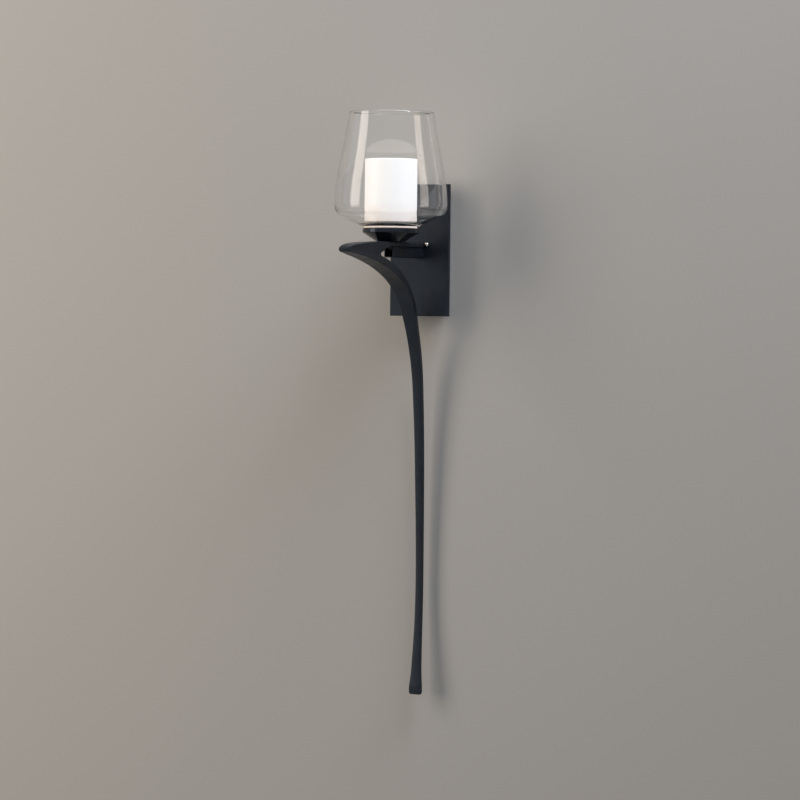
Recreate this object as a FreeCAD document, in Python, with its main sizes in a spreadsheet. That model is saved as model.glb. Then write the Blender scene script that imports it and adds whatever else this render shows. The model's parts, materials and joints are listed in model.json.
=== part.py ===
import FreeCAD, Part
import math
import os

import Sketcher
from FreeCAD import Placement, Rotation, Vector

# Wall sconce in millimetres: +X right along the wall, +Y into the wall, +Z up.
# The origin is the centre of the wall bracket, on the wall. The lamp stands out at -Y.

DIMS = {
    # back plate, rear pan and wall bracket
    "plate_width": 82.0,
    "plate_height": 166.0,
    "plate_thick": 5.0,
    "plate_back": 18.5,
    "plate_edge": 0.7,
    "pan_width": 62.0,
    "pan_height": 144.0,
    "pan_sheet": 1.5,
    "pan_rim": 0.6,
    "bracket_width": 28.0,
    "bracket_height": 106.0,
    "bracket_thick": 2.5,
    "slot_spacing": 83.3,
    "slot_width": 4.6,
    "slot_length": 14.0,
    "wire_hole": 7.0,
    # screws
    "cover_spread": 21.4,
    "cover_level": 7.3,
    "cover_shank": 2.0,
    "cover_head": 2.9,
    "cover_collar": 0.8,
    "flange_spread": 34.0,
    "small_shank": 1.5,
    # forged bar and its wire channel
    "bar_width": 22.4,
    "strap_top": 9.3,
    "strap_low": 3.0,
    "strap_root": 13.5,
    "channel_width": 12.7,
    "channel_low": 10.3,
    "channel_wall": 1.2,
    "channel_end": 107.6,
    "flange_width": 34.0,
    "flange_height": 48.0,
    "flange_thick": 2.0,
    # lamp stack, heights above the origin and radii from the lamp's own axis
    "lamp_reach": 103.5,
    "nipple_rad": 4.0,
    "nipple_bore": 3.0,
    "nipple_low": 3.5,
    "nipple_top": 20.0,
    "cup_floor": 2.0,
    "cup_foot": 17.5,
    "cup_rim": 34.8,
    "cup_flare": 20.3,
    "cup_top": 25.8,
    "seat_thick": 1.6,
    "seat_rad": 32.4,
    "collar_rad": 16.0,
    "collar_bore": 14.5,
    "collar_top": 44.0,
    "gasket_top": 28.0,
    "gasket_rad": 33.0,
    "gasket_bore": 29.5,
    "glass_floor": 33.0,
    "glass_hole": 16.6,
    "glass_foot": 35.6,
    "glass_rim": 52.4,
    "glass_top": 169.1,
    "glass_wall": 2.6,
    "opal_low": 34.0,
    "opal_floor": 37.5,
    "opal_rad": 32.4,
    "opal_wall": 3.0,
    "opal_top": 111.2,
    "ring_low": 38.5,
    "ring_top": 43.5,
    "ring_bore": 16.08,
    "ring_rad": 23.0,
    # lamp holder and bulb
    "holder_width": 18.0,
    "holder_depth": 13.0,
    "holder_low": 24.0,
    "holder_top": 42.0,
    "pin_spread": 9.5,
    "bulb_rad": 7.0,
    "bulb_wall": 1.0,
    "bulb_low": 42.3,
    "bulb_neck": 50.0,
    "bulb_top": 86.0,
    # leads
    "lead_rad": 1.0,
    "lead_pair": 1.5,
    "lead_level": 3.5,
    "lead_turn": 5.0,
    "splice_spread": 44.0,
    "splice_level": 30.0,
    "splice_depth": 10.0,
}

# Side view of the bar, as (distance from the wall, height) pairs.
CROWN = [(130, 9.3), (150, 8.7), (172, 7.8), (192, 6.6), (208, 5), (218, 3.2), (224.4, 1),
         (226.9, -1.2), (225, -3.6), (217, -5.6), (204, -7.5), (189, -9.7), (174, -12.4),
         (157.2, -16), (140.1, -20.3), (123.1, -25.6), (105.9, -32.2), (90.3, -39.7),
         (78.5, -47.3), (68.8, -55.9), (60.9, -65.2), (55.1, -75.1), (49.8, -86.8),
         (43.7, -102.3), (36.4, -123), (29.7, -150), (24.9, -190), (21.7, -230), (18.9, -289),
         (17.1, -340), (16.1, -392), (16.2, -427), (17.1, -456), (19.1, -490), (21.6, -520),
         (23.4, -542), (24.5, -555)]
HEEL = [(24.5, -555), (24.1, -559.5), (21.2, -561.5), (18.2, -559.9), (17.5, -555)]
SPINE = [(17.5, -555), (16.9, -542), (15.2, -520), (12.7, -490), (10.6, -456), (9.8, -427),
         (10, -392), (11, -340), (12.6, -289), (15.2, -230), (18.3, -190), (23.2, -150),
         (29.8, -123), (36.8, -102), (42.3, -88), (47, -77), (52.6, -67.2), (60, -57.3),
         (69, -47.4), (79.4, -38), (91, -29.8), (105, -22.4), (122, -15.8), (137, -11.2),
         (147.6, -8.6)]
CROTCH = [(147.6, -8.6), (149.6, -7.4), (150.1, -6.4), (149, -5.4), (144.6, -3.6), (137.6, -1),
          (130.5, 1.6), (123, 3)]
# Front view of the bar, as (half width, height) pairs from the foot up.
FLARE = [(7.6, -563), (7.5, -555), (6.6, -542), (5.4, -522), (4.5, -492), (4, -456), (3.9, -427),
         (4, -392), (4.9, -289), (5.4, -229), (5.8, -191), (6.4, -153), (7.1, -123), (7.9, -97),
         (8.8, -83), (9.9, -67), (10.6, -56), (11, -46), (11.3, -35)]
# Plan view of the horn's tip, as (half width, distance from the wall) pairs.
BEAK = [(11.3, 157), (11, 175), (10.3, 192), (9, 208), (7.4, 221), (6.2, 229)]
# Outside and inside of the clear shade, as (radius, height) pairs.
BELL = [(52.4, 169.1), (59.2, 128.9), (67.5, 84.8), (70, 57.6), (69.2, 48.6), (66, 43.6),
        (60.5, 40.4)]
WELL = [(59.3, 43.2), (64, 46.2), (66.7, 50.4), (67.4, 57.6), (65, 84.5), (56.6, 128.5),
        (49.8, 169.1)]

doc = FreeCAD.newDocument("torch_sconce")
sheet = doc.addObject("Spreadsheet::Sheet", "dims")
PARTS = []


class Size:
    """A number together with the spreadsheet expression that gives it."""

    def __init__(self, num, text):
        self.num = num
        self.text = text

    def mix(self, other, sign, num):
        text = other.text if isinstance(other, Size) else repr(float(other))
        return Size(num, "(%s %s %s)" % (self.text, sign, text))

    def __add__(self, other):
        return self.mix(other, "+", self.num + value(other))

    def __sub__(self, other):
        return self.mix(other, "-", self.num - value(other))

    def __mul__(self, other):
        return self.mix(other, "*", self.num * value(other))

    def __truediv__(self, other):
        return self.mix(other, "/", self.num / value(other))

    def __neg__(self):
        return Size(-self.num, "(0 - %s)" % self.text)


def value(size):
    return size.num if isinstance(size, Size) else float(size)


def dim(alias):
    return Size(DIMS[alias], "dims." + alias)


def fixed(num):
    return Size(float(num), repr(float(num)))


def as_size(size):
    return size if isinstance(size, Size) else fixed(size)


def fill_sheet():
    for row, (alias, num) in enumerate(DIMS.items(), 1):
        sheet.set("A%d" % row, alias)
        sheet.set("B%d" % row, str(num))
        sheet.setAlias("B%d" % row, alias)
    doc.recompute()


def bind(obj, path, size):
    obj.setExpression(path, "%s * 1 mm" % as_size(size).text)


def keep(obj, label):
    obj.Label = label
    PARTS.append(obj)
    return obj


# ---- sketches -------------------------------------------------------------------------

def plane(body, role):
    return [f for f in body.Origin.OriginFeatures if f.Role == role][0]


def new_body(name):
    return doc.addObject("PartDesign::Body", name)


def new_sketch(body, name, role, lift=None):
    sketch = body.newObject("Sketcher::SketchObject", name)
    sketch.AttachmentSupport = (plane(body, role), [""])
    sketch.MapMode = "FlatFace"
    if lift is not None:
        bind(sketch, "AttachmentOffset.Base.z", lift)
    return sketch


def pin(sketch, geo, pos, axis, size):
    """Holds one coordinate of a point at a sheet value, measured from the sketch's origin."""
    size = as_size(size)
    kind = "Distance" + axis
    if abs(size.num) < 1e-9:
        line = -2 if axis == "X" else -1
        sketch.addConstraint(Sketcher.Constraint("PointOnObject", geo, pos, line))
        return
    if size.num > 0:
        rule = Sketcher.Constraint(kind, -1, 1, geo, pos, size.num)
        text = size.text
    else:
        rule = Sketcher.Constraint(kind, geo, pos, -1, 1, -size.num)
        text = "(0 - %s)" % size.text
    index = sketch.addConstraint(rule)
    sketch.setExpression("Constraints[%d]" % index, text + " * 1 mm")


def loop(sketch, corners):
    """Adds a closed loop of lines whose corners are (x, y) sizes."""
    first = sketch.GeometryCount
    count = len(corners)
    spots = [Vector(value(x), value(y), 0) for x, y in corners]
    for i in range(count):
        sketch.addGeometry(Part.LineSegment(spots[i], spots[(i + 1) % count]))
    for i in range(count):
        after = first + (i + 1) % count
        sketch.addConstraint(Sketcher.Constraint("Coincident", first + i, 2, after, 1))
    for i, (x, y) in enumerate(corners):
        pin(sketch, first + i, 1, "X", x)
        pin(sketch, first + i, 1, "Y", y)


def ring(sketch, x, y, rad):
    """Adds a circle with its centre and radius bound to sizes."""
    rad = as_size(rad)
    circle = Part.Circle(Vector(value(x), value(y), 0), Vector(0, 0, 1), rad.num)
    geo = sketch.addGeometry(circle)
    pin(sketch, geo, 3, "X", x)
    pin(sketch, geo, 3, "Y", y)
    index = sketch.addConstraint(Sketcher.Constraint("Radius", geo, rad.num))
    sketch.setExpression("Constraints[%d]" % index, rad.text + " * 1 mm")


def rectangle(sketch, width, low, high, middle=0):
    half = as_size(width) / 2
    left = as_size(middle) - half
    right = as_size(middle) + half
    loop(sketch, [(left, low), (right, low), (right, high), (left, high)])


def slot(sketch, y, width, length):
    """Adds an upright slot with round ends, drawn about (0, y)."""
    rad = value(width) / 2
    half = value(length) / 2 - rad
    low = Vector(0, value(y) - half, 0)
    high = Vector(0, value(y) + half, 0)
    up = Vector(0, 0, 1)
    top = sketch.addGeometry(Part.ArcOfCircle(Part.Circle(high, up, rad), 0, math.pi))
    end = sketch.addGeometry(Part.ArcOfCircle(Part.Circle(low, up, rad), math.pi, 2 * math.pi))
    side = Vector(rad, 0, 0)
    left = sketch.addGeometry(Part.LineSegment(high - side, low - side))
    right = sketch.addGeometry(Part.LineSegment(low + side, high + side))
    for pair in ((top, 2, left, 1), (left, 2, end, 1), (end, 2, right, 1), (right, 2, top, 1)):
        sketch.addConstraint(Sketcher.Constraint("Tangent", *pair))
    pin(sketch, top, 3, "X", 0)
    pin(sketch, top, 3, "Y", as_size(y) + (as_size(length) - width) / 2)
    pin(sketch, end, 3, "Y", as_size(y) - (as_size(length) - width) / 2)
    index = sketch.addConstraint(Sketcher.Constraint("Radius", top, rad))
    sketch.setExpression("Constraints[%d]" % index, (as_size(width) / 2).text + " * 1 mm")


def curve(spots, start=None, end=None):
    """A smooth curve through its points, with unit end tangents where they are given."""
    spline = Part.BSplineCurve()
    points = [Vector(x, y, 0) for x, y in spots]
    if start is None:
        spline.interpolate(points)
    else:
        spline.interpolate(points, InitialTangent=Vector(*start, 0).normalize(),
                           FinalTangent=Vector(*end, 0).normalize(), Scale=False)
    return spline


def join(sketch, geos):
    """Closes a chain of edges end to start."""
    for i, geo in enumerate(geos):
        after = geos[(i + 1) % len(geos)]
        sketch.addConstraint(Sketcher.Constraint("Coincident", geo, 2, after, 1))


# ---- features -------------------------------------------------------------------------

def pad(body, sketch, length, both=False, turned=False):
    feature = body.newObject("PartDesign::Pad", sketch.Name + "_pad")
    feature.Profile = sketch
    bind(feature, "Length", length)
    feature.Midplane = both
    feature.Reversed = turned
    sketch.Visibility = False
    doc.recompute()
    return feature


def pocket(body, sketch, length=None, both=False, turned=False):
    """Cuts a sketch out of a body and makes sure that it took something away."""
    before = body.Shape.Volume
    feature = body.newObject("PartDesign::Pocket", sketch.Name + "_pocket")
    feature.Profile = sketch
    if length is None:
        feature.Type = 1
    else:
        bind(feature, "Length", length)
    feature.Midplane = both
    feature.Reversed = turned
    doc.recompute()
    if not body.Shape.Volume < before - 0.01:
        raise RuntimeError("nothing was cut by " + feature.Name)
    return feature


def revolve(body, sketch):
    feature = body.newObject("PartDesign::Revolution", sketch.Name + "_turn")
    feature.Profile = sketch
    feature.ReferenceAxis = (sketch, ["V_Axis"])
    feature.Angle = 360
    doc.recompute()
    return feature


def ease(body, feature, rad, kind="Fillet", picks=None):
    """Rounds or bevels edges of a body's last feature."""
    names = picks or ["Edge%d" % (i + 1) for i in range(len(feature.Shape.Edges))]
    feature_new = body.newObject("PartDesign::" + kind, feature.Name + "_" + kind.lower())
    feature_new.Base = (feature, names)
    bind(feature_new, "Radius" if kind == "Fillet" else "Size", rad)
    doc.recompute()
    return feature_new


def on_lamp_axis(obj):
    bind(obj, "Placement.Base.y", -dim("lamp_reach"))


def turned_part(name, corners):
    """A piece turned about the lamp's axis from its (radius, height) outline."""
    body = new_body(name)
    sketch = new_sketch(body, name + "_outline", "XZ_Plane")
    loop(sketch, corners)
    revolve(body, sketch)
    on_lamp_axis(body)
    return keep(body, name)


def washer_part(name, bore, rad, low, high):
    return turned_part(name, [(bore, low), (rad, low), (rad, high), (bore, high)])


def box(name, spans):
    """A block from three (low, high) pairs of sizes along X, Y and Z."""
    block = doc.addObject("Part::Box", name)
    for axis, side, (low, high) in zip("xyz", ("Length", "Width", "Height"), spans):
        bind(block, side, as_size(high) - low)
        bind(block, "Placement.Base." + axis, low)
    return block


def rod(name, rad, length, base, axis="z"):
    """A round bar from its base point, along +Z, or along -Y away from the wall."""
    bar = doc.addObject("Part::Cylinder", name)
    bind(bar, "Radius", rad)
    bind(bar, "Height", length)
    if axis == "-y":
        bar.Placement = Placement(Vector(), Rotation(Vector(1, 0, 0), 90))
    if axis == "x":
        bar.Placement = Placement(Vector(), Rotation(Vector(0, 1, 0), 90))
    for letter, place in zip("xyz", base):
        bind(bar, "Placement.Base." + letter, place)
    return bar


def fuse(name, shapes):
    joined = doc.addObject("Part::MultiFuse", name)
    joined.Shapes = shapes
    doc.recompute()
    return joined


def cut(name, base, tool):
    result = doc.addObject("Part::Cut", name)
    result.Base = base
    result.Tool = tool
    doc.recompute()
    return result


def group(name, shapes):
    """Separate solids kept in one node."""
    bundle = doc.addObject("Part::Compound", name)
    bundle.Links = shapes
    doc.recompute()
    return keep(bundle, name)


def sheet_num(alias):
    return float(sheet.get(alias))


def lead_shape(spots, turn, rad):
    """A lead along straight runs joined by tangent arcs, with the length of its path."""
    points = [Vector(*spot) for spot in spots]
    edges = []
    length = 0.0
    at = points[0]
    for before, corner, after in zip(points, points[1:], points[2:]):
        way_in = (corner - before).normalize()
        way_out = (after - corner).normalize()
        bend = way_in.getAngle(way_out)
        back = turn * math.tan(bend / 2)
        start = corner - way_in * back
        end = corner + way_out * back
        middle = (start + end) / 2
        centre = corner + (middle - corner).normalize() * (turn / math.cos(bend / 2))
        crest = centre + (corner - centre).normalize() * turn
        edges.append(Part.LineSegment(at, start).toShape())
        edges.append(Part.Arc(start, crest, end).toShape())
        length += (start - at).Length + turn * bend
        at = end
    edges.append(Part.LineSegment(at, points[-1]).toShape())
    length += (points[-1] - at).Length
    path = Part.Wire(edges)
    ring_edge = Part.makeCircle(rad, points[0], (points[1] - points[0]).normalize())
    solid = path.makePipeShell([Part.Wire([ring_edge])], True, False)
    wanted = math.pi * rad * rad * length
    if abs(solid.Volume / wanted - 1) > 0.01:
        raise RuntimeError("a lead's volume is off")
    return solid


def plain(name, shape):
    piece = doc.addObject("Part::Feature", name)
    piece.Shape = shape
    return piece


# ---- wall side ------------------------------------------------------------------------

def make_bracket():
    """Flat steel bar on the wall box: two slots, two tapped holes and a ground hole."""
    body = new_body("wall_bracket")
    sketch = new_sketch(body, "bracket_outline", "XZ_Plane")
    half = dim("bracket_height") / 2
    rectangle(sketch, dim("bracket_width"), -half, half)
    for side in (-1, 1):
        slot(sketch, dim("slot_spacing") / 2 * side, dim("slot_width"), dim("slot_length"))
        ring(sketch, dim("cover_spread") / 2 * side, dim("cover_level"), dim("cover_shank"))
    ring(sketch, 0, -12, dim("wire_hole"))
    ring(sketch, 0, -26, dim("small_shank"))
    feature = pad(body, sketch, dim("bracket_thick"))
    corners = [i for i, e in enumerate(feature.Shape.Edges, 1)
               if abs(abs(e.CenterOfMass.x) - value(dim("bracket_width")) / 2) < 0.01
               and e.Length < 3]
    ease(body, feature, fixed(3), picks=["Edge%d" % i for i in corners])
    keep(body, "wall_bracket")


def plate_holes(body, back, depth, gap, screw_depth):
    """Cuts the channel's opening and the screw holes into a sheet, from its back face."""
    sketch = new_sketch(body, body.Name + "_holes", "XZ_Plane", back)
    rectangle(sketch, dim("channel_width") + 2 * gap, -dim("channel_low") - gap,
              dim("strap_low") + gap)
    for side in (-1, 1):
        ring(sketch, dim("cover_spread") / 2 * side, dim("cover_level"),
             dim("cover_shank") + 0.3)
    pocket(body, sketch, depth, turned=True)
    screws = new_sketch(body, body.Name + "_screw_holes", "XZ_Plane", back)
    for side in (-1, 1):
        ring(screws, 0, dim("flange_spread") / 2 * side, dim("small_shank") + 0.05)
    pocket(body, screws, screw_depth, turned=True)


def make_backplate():
    """The plate in front: flat, with slightly eased edges."""
    body = new_body("backplate")
    sketch = new_sketch(body, "backplate_outline", "XZ_Plane", dim("plate_back"))
    half = dim("plate_height") / 2
    rectangle(sketch, dim("plate_width"), -half, half)
    feature = pad(body, sketch, dim("plate_thick"))
    ease(body, feature, dim("plate_edge"))
    thick = dim("plate_thick")
    plate_holes(body, dim("plate_back"), thick + 1, 0.1, thick - 0.7)
    keep(body, "backplate")


def make_pan():
    """Shallow steel pan behind the plate: it stands on the wall and hides the splices."""
    body = new_body("mounting_pan")
    half = dim("pan_height") / 2
    wall = dim("pan_sheet")
    sketch = new_sketch(body, "pan_outline", "XZ_Plane", dim("pan_rim"))
    rectangle(sketch, dim("pan_width"), -half, half)
    pad(body, sketch, dim("plate_back") - dim("pan_rim"))
    hollow = new_sketch(body, "pan_hollow", "XZ_Plane", dim("pan_rim"))
    rectangle(hollow, dim("pan_width") - wall * 2, -half + wall, half - wall)
    pocket(body, hollow, dim("plate_back") - dim("pan_rim") - wall, turned=True)
    plate_holes(body, dim("plate_back") - wall, wall + 1, 0.1, wall + 1)
    keep(body, "mounting_pan")


def make_pan_seal():
    """Foam strip between the pan's rim and the wall."""
    body = new_body("pan_seal")
    half = dim("pan_height") / 2
    wall = dim("pan_sheet")
    sketch = new_sketch(body, "seal_outline", "XZ_Plane")
    rectangle(sketch, dim("pan_width"), -half, half)
    rectangle(sketch, dim("pan_width") - wall * 2, -half + wall, half - wall)
    pad(body, sketch, dim("pan_rim"))
    keep(body, "pan_seal")


def make_flange():
    """Plate welded round the channel's rear end and screwed to the back plate."""
    body = new_body("arm_flange")
    front = dim("plate_back") - dim("pan_sheet")
    back = front - dim("flange_thick")
    sketch = new_sketch(body, "flange_outline", "XZ_Plane", back)
    half = dim("flange_height") / 2
    rectangle(sketch, dim("flange_width"), -half, half)
    pad(body, sketch, dim("flange_thick"))
    thick = dim("flange_thick")
    plate_holes(body, back, thick + 1, 0.0, thick + 1)
    keep(body, "arm_flange")


def dome_screw(name, x):
    """One long cover screw with a small domed head in front of the plate."""
    front = dim("plate_back") + dim("plate_thick")
    shank = rod(name + "_shank", dim("cover_shank") - 0.05, front - 0.2,
                (x, -0.2, dim("cover_level")), "-y")
    dome = doc.addObject("Part::Sphere", name + "_dome")
    bind(dome, "Radius", dim("cover_head"))
    dome.Angle1 = 0
    dome.Placement = Placement(Vector(), Rotation(Vector(1, 0, 0), 90))
    collar = rod(name + "_collar", dim("cover_head"), dim("cover_collar"),
                 (x, -front, dim("cover_level")), "-y")
    for letter, place in zip("xyz", (x, -front - dim("cover_collar"), dim("cover_level"))):
        bind(dome, "Placement.Base." + letter, place)
    return fuse(name, [shank, collar, dome])


def make_cover_screws():
    left = dome_screw("cover_screw_left", -dim("cover_spread") / 2)
    right = dome_screw("cover_screw_right", dim("cover_spread") / 2)
    group("cover_screws", [left, right])


def make_flange_screws():
    """Two pan-head screws from behind, through flange and pan into the back plate."""
    screws = []
    face = dim("plate_back") - dim("pan_sheet") - dim("flange_thick")
    for name, side, under in (("flange_screw_up", 1, 0.0), ("flange_screw_low", -1, 0.8)):
        level = dim("flange_spread") / 2 * side
        length = dim("plate_back") + dim("plate_thick") - 0.8 - face + under
        shank = rod(name + "_shank", dim("small_shank"), length, (0, -face + under, level), "-y")
        head = rod(name + "_head", 2.8, 1.9, (0, -face + under + 1.9, level), "-y")
        screws.append(fuse(name, [shank, head]))
    group("flange_screws", screws)


def make_ground_screw():
    """Green screw on the wall bracket, over the ground lead's ring."""
    top = dim("bracket_thick") + 0.8
    shank = rod("ground_screw_shank", dim("small_shank") - 0.05, top - 0.1, (0, -0.1, -26), "-y")
    head = rod("ground_screw_head", 3.4, 2.2, (0, -top, -26), "-y")
    notch = box("ground_screw_notch", ((-4, 4), (-top - 2.3, -top - 1.4), (-26.5, -25.5)))
    solid = fuse("ground_screw_blank", [shank, head])
    keep(cut("ground_screw", solid, notch), "ground_screw")


# ---- arm ------------------------------------------------------------------------------

def make_forged_bar():
    """Flat bar split at the horn: the strap runs back to the plate, the tail hangs down."""
    body = new_body("forged_bar")
    sketch = new_sketch(body, "bar_side", "YZ_Plane")
    face = value(dim("plate_back") + dim("plate_thick"))
    top = DIMS["strap_top"]
    low = DIMS["strap_low"]
    flip = [[(-d, z) for d, z in run] for run in (CROWN, HEEL, SPINE, CROTCH)]
    crown = curve(flip[0], (-1, 0), (0.1, -1))
    heel = curve(flip[1], (0.1, -1), (-0.1, 1))
    spine = curve(flip[2], (0.1, 1), (-1, 0.3))
    crotch = curve(flip[3], (-1, 0.4), (1, 0))
    chain = [sketch.addGeometry(Part.LineSegment(Vector(-face, top, 0), Vector(-130, top, 0)))]
    chain += [sketch.addGeometry(c) for c in (crown, heel, spine, crotch)]
    chain += [sketch.addGeometry(Part.LineSegment(Vector(-123, low, 0), Vector(-face, low, 0)))]
    chain += [sketch.addGeometry(Part.LineSegment(Vector(-face, low, 0), Vector(-face, top, 0)))]
    join(sketch, chain)
    pin(sketch, chain[0], 1, "X", -(dim("plate_back") + dim("plate_thick")))
    pin(sketch, chain[0], 1, "Y", dim("strap_top"))
    pin(sketch, chain[0], 2, "X", fixed(-130))
    pin(sketch, chain[0], 2, "Y", dim("strap_top"))
    pin(sketch, chain[5], 1, "X", fixed(-123))
    pin(sketch, chain[5], 1, "Y", dim("strap_low"))
    pin(sketch, chain[5], 2, "X", -(dim("plate_back") + dim("plate_thick")))
    pin(sketch, chain[5], 2, "Y", dim("strap_low"))
    pad(body, sketch, dim("bar_width"), both=True)

    for name, side in (("left", -1), ("right", 1)):
        flare = new_sketch(body, "flare_" + name, "XZ_Plane")
        edge = [(side * x, z) for x, z in FLARE]
        trim(flare, edge, side * 30.0, (-0.05 * side, 1), (0, 1))
        pocket(body, flare, fixed(500), both=True)
        beak = new_sketch(body, "beak_" + name, "XY_Plane")
        edge = [(side * x, -d) for x, d in BEAK]
        trim(beak, edge, side * 30.0, (0, -1), (-0.2 * side, -1))
        pocket(body, beak, fixed(100), both=True)
        # the strap narrows from the crotch back to the plate
        root = new_sketch(body, "root_" + name, "XY_Plane", dim("strap_low") - 1)
        wide = dim("bar_width") / 2
        loop(root, [(fixed(side * 30.0), -18.5), (dim("strap_root") / 2 * side, -18.5),
                    (wide * side, -122), (fixed(side * 30.0), -122)])
        pocket(body, root, fixed(20), turned=True)

    hole = new_sketch(body, "nipple_hole", "XY_Plane")
    ring(hole, 0, -dim("lamp_reach"), dim("nipple_rad") + 0.05)
    pocket(body, hole, fixed(20), turned=True)
    keep(body, "forged_bar")


def trim(sketch, edge, outside, start, end):
    """Draws the region between a free curve and a line well outside the bar."""
    first = edge[0]
    last = edge[-1]
    chain = [sketch.addGeometry(curve(edge, start, end))]
    corners = [last, (outside, last[1]), (outside, first[1]), first]
    for one, two in zip(corners, corners[1:]):
        chain.append(sketch.addGeometry(Part.LineSegment(Vector(*one, 0), Vector(*two, 0))))
    join(sketch, chain)
    for geo, (x, y) in zip(chain[1:], corners):
        pin(sketch, geo, 1, "X", fixed(x))
        pin(sketch, geo, 1, "Y", fixed(y))
    pin(sketch, chain[3], 2, "X", fixed(first[0]))
    pin(sketch, chain[3], 2, "Y", fixed(first[1]))


def make_channel():
    """U-shaped wire channel under the strap, open at its front end."""
    body = new_body("wire_channel")
    start = dim("plate_back") - dim("pan_sheet") - dim("flange_thick")
    sketch = new_sketch(body, "channel_section", "XZ_Plane", start)
    out = dim("channel_width") / 2
    wall = dim("channel_wall")
    low = -dim("channel_low")
    top = dim("strap_low")
    loop(sketch, [(-out, top), (-out, low), (out, low), (out, top), (out - wall, top),
                  (out - wall, low + wall), (-out + wall, low + wall), (-out + wall, top)])
    pad(body, sketch, dim("channel_end") - start)
    keep(body, "wire_channel")


def make_bushing():
    """Plastic bushing in the channel's rear end, so the leads don't chafe."""
    start = dim("plate_back") - dim("pan_sheet") - dim("flange_thick")
    half = dim("channel_width") / 2 - dim("channel_wall") - 0.05
    low = -dim("channel_low") + dim("channel_wall") + 0.05
    high = dim("strap_low") - 0.1
    plug = box("bushing_plug", ((-half, half), (-start - 7, -start), (low, high)))
    lip = box("bushing_lip", ((-8, 8), (-start, -start + 1.4), (low - 2.4, high + 2.4)))
    bore = rod("bushing_bore", 3.4, 12, (0, -start + 3, -dim("lead_level")), "-y")
    blank = fuse("bushing_blank", [plug, lip])
    keep(cut("wire_bushing", blank, bore), "wire_bushing")


# ---- lamp -----------------------------------------------------------------------------

def make_lamp_stack():
    """Everything turned about the lamp's axis, from the strap up."""
    hole = dim("nipple_rad") + 0.2
    foot = dim("strap_top")
    floor = foot + dim("cup_floor")
    rim = dim("cup_rim")
    top = dim("cup_top")
    ledge = top - dim("seat_thick")
    seat = dim("seat_rad") + 0.2
    turned_part("shade_cup", [
        (hole, foot), (dim("cup_foot"), foot), (rim, dim("cup_flare")), (rim, top - 0.7),
        (rim - 0.5, top), (seat, top), (seat, ledge), (seat - 2.1, ledge),
        (seat - 2.1, dim("cup_flare") + 0.3), (dim("cup_foot") - 1.1, floor), (hole, floor)])
    washer_part("glass_seat", dim("collar_rad") + 0.3, dim("seat_rad"), ledge, top)
    turned_part("shade_collar", [
        (hole, floor), (dim("collar_rad"), floor), (dim("collar_rad"), dim("collar_top")),
        (dim("collar_bore"), dim("collar_top")), (dim("collar_bore"), floor + 1.5),
        (hole, floor + 1.5)])
    washer_part("lamp_nipple", dim("nipple_bore"), dim("nipple_rad"), dim("nipple_low"),
                dim("nipple_top"))
    washer_part("lower_gasket", dim("gasket_bore"), dim("gasket_rad"), top, dim("gasket_top"))
    washer_part("middle_gasket", dim("glass_hole") + 0.4, 28, dim("glass_floor"),
                dim("opal_low"))
    out = dim("opal_rad")
    into = out - dim("opal_wall")
    low = dim("opal_low")
    turned_part("inner_glass", [
        (dim("glass_hole"), low), (out - 2.2, low), (out - 0.7, low + 0.6),
        (out, low + 2.2), (out, dim("opal_top") - 0.6), (out - 0.6, dim("opal_top")),
        (into + 0.6, dim("opal_top")), (into, dim("opal_top") - 0.6),
        (into, dim("opal_floor") + 1.2), (into - 1.2, dim("opal_floor")),
        (dim("glass_hole"), dim("opal_floor"))])
    washer_part("ring_washer", dim("glass_hole"), dim("ring_rad"), dim("opal_floor"),
                dim("ring_low"))


def make_outer_glass():
    """Clear shade: a heavy flat foot, a shallow cone, a round shoulder, a tapering wall."""
    body = new_body("outer_glass")
    sketch = new_sketch(body, "outer_glass_outline", "XZ_Plane")
    bell = sketch.addGeometry(curve(BELL))
    base = dim("gasket_top")
    floor = dim("glass_floor")
    bore = dim("glass_hole")
    foot = dim("glass_foot")
    steps = [(BELL[-1][0], BELL[-1][1]), (foot, base), (bore, base), (bore, floor),
             (foot + 3.4, floor), (WELL[0][0], WELL[0][1])]
    chain = [bell]
    for (x0, y0), (x1, y1) in zip(steps, steps[1:]):
        line = Part.LineSegment(Vector(value(x0), value(y0), 0), Vector(value(x1), value(y1), 0))
        chain.append(sketch.addGeometry(line))
    chain.append(sketch.addGeometry(curve(WELL)))
    lip = Part.LineSegment(Vector(*WELL[-1], 0), Vector(*BELL[0], 0))
    chain.append(sketch.addGeometry(lip))
    join(sketch, chain)
    for geo, (x, y) in zip(chain[1:], steps):
        pin(sketch, geo, 1, "X", x)
        pin(sketch, geo, 1, "Y", y)
    pin(sketch, chain[-1], 1, "X", dim("glass_rim") - dim("glass_wall"))
    pin(sketch, chain[-1], 1, "Y", dim("glass_top"))
    pin(sketch, chain[-1], 2, "X", dim("glass_rim"))
    pin(sketch, chain[-1], 2, "Y", dim("glass_top"))
    feature = revolve(body, sketch)
    rims = [i for i, e in enumerate(feature.Shape.Edges, 1)
            if e.BoundBox.ZMin > DIMS["glass_top"] - 0.01 and e.Length > 50]
    ease(body, feature, fixed(0.9), picks=["Edge%d" % i for i in rims])
    on_lamp_axis(body)
    keep(body, "outer_glass")


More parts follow.
